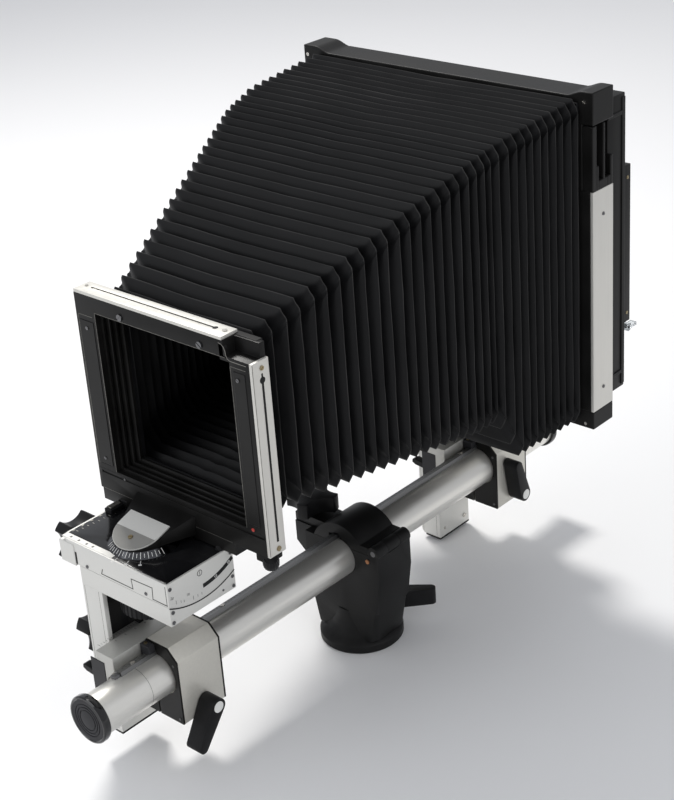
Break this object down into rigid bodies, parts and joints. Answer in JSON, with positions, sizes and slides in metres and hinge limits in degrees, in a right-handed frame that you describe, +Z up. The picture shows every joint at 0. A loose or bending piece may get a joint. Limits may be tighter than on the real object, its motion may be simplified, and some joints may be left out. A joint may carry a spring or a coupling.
{
  "type": "view camera",
  "caption": "Monorail view camera: tubular rail in a tripod clamp, two geared standards with rise, shift, tilt and swing, tapered pleated bellows, lens-board frame and spring back.",
  "frame": {"origin": "centre of the underside of the clamp's round base, on the surface it stands on", "axes": "+Z up, -Y towards the lens side along the rail, +X to the right for someone facing the lens side"},
  "size_m": [0.3, 0.568, 0.4711],
  "materials": {
    "satin_aluminium": "satin",
    "warm_grey_enamel": "satin",
    "dark_grey_enamel": "satin",
    "black_casting": "satin",
    "black_anodised": "satin",
    "black_moulding": "satin",
    "gloss_black_cover": "gloss",
    "knob_black": "matte",
    "cap_rubber": "matte",
    "blackened_steel": "satin",
    "rail_groove_steel": "satin",
    "dial_chrome": "polished",
    "index_silver": "satin",
    "brass": "satin",
    "lock_silver": "satin",
    "ground_glass": "satin",
    "clear_plastic": "gloss",
    "bellows_cloth": "satin"
  },
  "bodies": {
    "clamp": {"clamp_body": "black_casting", "tripod_bush": "brass", "jaw_pin": "blackened_steel"},
    "clamp_jaw": {"clamp_jaw": "black_casting"},
    "clamp_knob": {"clamp_knob": "knob_black", "clamp_bolt": "blackened_steel"},
    "clamp_lever": {"clamp_lever": "knob_black"},
    "rail": {"rail_tube": "satin_aluminium", "rail_spine": "rail_groove_steel", "front_cap": "cap_rubber", "rear_cap": "cap_rubber", "bellows": "bellows_cloth"},
    "front_bearer": {"front_bearer": "warm_grey_enamel", "front_bearer_plates": "black_anodised"},
    "front_lever": {"front_lever": "knob_black", "front_stud": "blackened_steel"},
    "front_carriage": {"front_carriage": "dark_grey_enamel"},
    "front_rise_knob": {"front_rise_knob": "knob_black", "front_rise_shaft": "blackened_steel"},
    "front_column": {"front_column": "satin_aluminium", "front_foot": "black_moulding", "front_rack": "black_moulding", "front_bracket": "satin_aluminium"},
    "front_shift_wheel": {"front_shift_wheel": "knob_black"},
    "front_shift": {"front_shift_shoe": "blackened_steel"},
    "front_tilt": {"front_tilt_body": "satin_aluminium", "front_cover": "gloss_black_cover"},
    "front_tilt_knob": {"front_tilt_knob": "knob_black", "front_tilt_shaft": "blackened_steel"},
    "front_swing": {"front_dial": "dial_chrome", "front_holder": "black_anodised", "front_index_plate": "index_silver", "front_frame": "black_anodised"},
    "top_lock": {"top_lock_strip": "lock_silver"},
    "side_lock": {"side_lock_strip": "lock_silver"},
    "rear_bearer": {"rear_bearer": "warm_grey_enamel", "rear_bearer_plates": "black_anodised"},
    "rear_lever": {"rear_lever": "knob_black", "rear_stud": "blackened_steel"},
    "rear_carriage": {"rear_carriage": "dark_grey_enamel"},
    "rear_rise_knob": {"rear_rise_knob": "knob_black", "rear_rise_shaft": "blackened_steel"},
    "rear_column": {"rear_column": "satin_aluminium", "rear_foot": "black_moulding", "rear_rack": "black_moulding", "rear_bracket": "satin_aluminium"},
    "rear_shift_wheel": {"rear_shift_wheel": "knob_black"},
    "rear_shift": {"rear_shift_shoe": "blackened_steel"},
    "rear_tilt": {"rear_tilt_body": "satin_aluminium", "rear_cover": "gloss_black_cover"},
    "rear_tilt_knob": {"rear_tilt_knob": "knob_black"},
    "rear_swing": {"rear_dial": "dial_chrome", "rear_holder": "black_anodised", "rear_frame": "black_moulding", "rear_side_strips": "lock_silver", "film_back": "black_moulding", "spring_housings": "black_moulding"},
    "glass": {"glass_frame": "black_moulding", "ground_glass": "ground_glass"},
    "release_lever": {"release_lever": "clear_plastic"}
  },
  "joints": [
    {"name": "jaw_open", "type": "hinge", "parent": "clamp", "child": "clamp_jaw", "pos_m": [0.038, 0, 0.102], "axis": [0, 1, 0], "range_deg": [0, 6]},
    {"name": "clamp_knob_turn", "type": "hinge", "parent": "clamp_jaw", "child": "clamp_knob", "pos_m": [-0.048, 0, 0.11], "axis": [0, 0, 1], "range_deg": [-180, 180]},
    {"name": "clamp_lever_turn", "type": "hinge", "parent": "clamp", "child": "clamp_lever", "pos_m": [0.016, 0.0295, 0.02], "axis": [0, 0, 1], "range_deg": [-30, 30]},
    {"name": "rail_slide", "type": "slide", "parent": "clamp", "child": "rail", "axis": [0, 1, 0], "range_m": [-0.06, 0.06]},
    {"name": "front_bearer_slide", "type": "slide", "parent": "rail", "child": "front_bearer", "axis": [0, 1, 0], "range_m": [-0.02, 0.03], "deforming": ["bellows"]},
    {"name": "front_lever_turn", "type": "hinge", "parent": "front_bearer", "child": "front_lever", "pos_m": [0.03, -0.20525, 0.0587], "axis": [1, 0, 0], "range_deg": [-30, 30]},
    {"name": "front_focus", "type": "slide", "parent": "front_bearer", "child": "front_carriage", "axis": [0, 1, 0], "range_m": [-0.01, 0.01], "deforming": ["bellows"]},
    {"name": "front_rise", "type": "slide", "parent": "front_carriage", "child": "front_column", "axis": [0, 0, 1], "range_m": [-0.02, 0.04], "deforming": ["bellows"]},
    {"name": "front_rise_knob_turn", "type": "hinge", "parent": "front_carriage", "child": "front_rise_knob", "pos_m": [-0.067, -0.22275, 0.102], "axis": [1, 0, 0], "range_deg": [-193, 384]},
    {"name": "front_shift", "type": "slide", "parent": "front_column", "child": "front_shift", "axis": [1, 0, 0], "range_m": [-0.022, 0.018], "deforming": ["bellows"]},
    {"name": "front_shift_wheel_turn", "type": "hinge", "parent": "front_column", "child": "front_shift_wheel", "pos_m": [-0.017, -0.2115, 0.1455], "axis": [0, 0, 1], "range_deg": [-363, 297]},
    {"name": "front_tilt", "type": "hinge", "parent": "front_shift", "child": "front_tilt", "pos_m": [-0.017, -0.2115, 0.234], "axis": [1, 0, 0], "range_deg": [-8, 8], "deforming": ["bellows"]},
    {"name": "front_tilt_knob_turn", "type": "hinge", "parent": "front_tilt", "child": "front_tilt_knob", "pos_m": [-0.084, -0.2205, 0.175], "axis": [1, 0, 0], "range_deg": [-182, 182]},
    {"name": "front_swing", "type": "hinge", "parent": "front_tilt", "child": "front_swing", "pos_m": [-0.017, -0.2115, 0.1917], "axis": [0, 0, 1], "range_deg": [-15, 15], "deforming": ["bellows"]},
    {"name": "rear_bearer_slide", "type": "slide", "parent": "rail", "child": "rear_bearer", "axis": [0, 1, 0], "range_m": [-0.02, 0.02], "deforming": ["bellows"]},
    {"name": "rear_lever_turn", "type": "hinge", "parent": "rear_bearer", "child": "rear_lever", "pos_m": [0.03, 0.19275, 0.0587], "axis": [1, 0, 0], "range_deg": [-30, 30]},
    {"name": "rear_focus", "type": "slide", "parent": "rear_bearer", "child": "rear_carriage", "axis": [0, 1, 0], "range_m": [-0.01, 0.01], "deforming": ["bellows"]},
    {"name": "rear_rise", "type": "slide", "parent": "rear_carriage", "child": "rear_column", "axis": [0, 0, 1], "range_m": [0, 0.05], "deforming": ["bellows"]},
    {"name": "rear_rise_knob_turn", "type": "hinge", "parent": "rear_carriage", "child": "rear_rise_knob", "pos_m": [-0.067, 0.17525, 0.102], "axis": [1, 0, 0], "range_deg": [-2, 480]},
    {"name": "rear_shift", "type": "slide", "parent": "rear_column", "child": "rear_shift", "axis": [1, 0, 0], "range_m": [-0.022, 0.018], "deforming": ["bellows"]},
    {"name": "rear_shift_wheel_turn", "type": "hinge", "parent": "rear_column", "child": "rear_shift_wheel", "pos_m": [-0.017, 0.1865, 0.1252], "axis": [0, 0, 1], "range_deg": [-363, 297]},
    {"name": "rear_tilt", "type": "hinge", "parent": "rear_shift", "child": "rear_tilt", "pos_m": [-0.017, 0.1865, 0.2137], "axis": [1, 0, 0], "range_deg": [-5, 5], "deforming": ["bellows"]},
    {"name": "rear_tilt_knob_turn", "type": "hinge", "parent": "rear_tilt", "child": "rear_tilt_knob", "pos_m": [-0.084, 0.1775, 0.1547], "axis": [1, 0, 0], "range_deg": [-182, 182]},
    {"name": "rear_swing", "type": "hinge", "parent": "rear_tilt", "child": "rear_swing", "pos_m": [-0.017, 0.1865, 0.1714], "axis": [0, 0, 1], "range_deg": [-7, 7], "deforming": ["bellows"]},
    {"name": "top_lock_slide", "type": "slide", "parent": "front_swing", "child": "top_lock", "axis": [1, 0, 0], "range_m": [0, 0.008]},
    {"name": "side_lock_slide", "type": "slide", "parent": "front_swing", "child": "side_lock", "axis": [0, 0, 1], "range_m": [0, 0.008]},
    {"name": "glass_spring_back", "type": "slide", "parent": "rear_swing", "child": "glass", "axis": [0, 1, 0], "range_m": [0, 0.02], "stiffness_N_per_m": 400, "springref_m": -0.01},
    {"name": "release_lever_turn", "type": "hinge", "parent": "rear_swing", "child": "release_lever", "pos_m": [0.1385, 0.2015, 0.2511], "axis": [1, 0, 0], "range_deg": [-40, 0]}
  ],
  "couplings": [
    {"joint": "front_rise_knob_turn", "follows": "front_rise", "rad_per_m": 166.67},
    {"joint": "front_shift_wheel_turn", "follows": "front_shift", "rad_per_m": 285.71},
    {"joint": "front_tilt_knob_turn", "follows": "front_tilt", "ratio": 22.5},
    {"joint": "rear_rise_knob_turn", "follows": "rear_rise", "rad_per_m": 166.67},
    {"joint": "rear_shift_wheel_turn", "follows": "rear_shift", "rad_per_m": 285.71},
    {"joint": "rear_tilt_knob_turn", "follows": "rear_tilt", "ratio": 36}
  ]
}
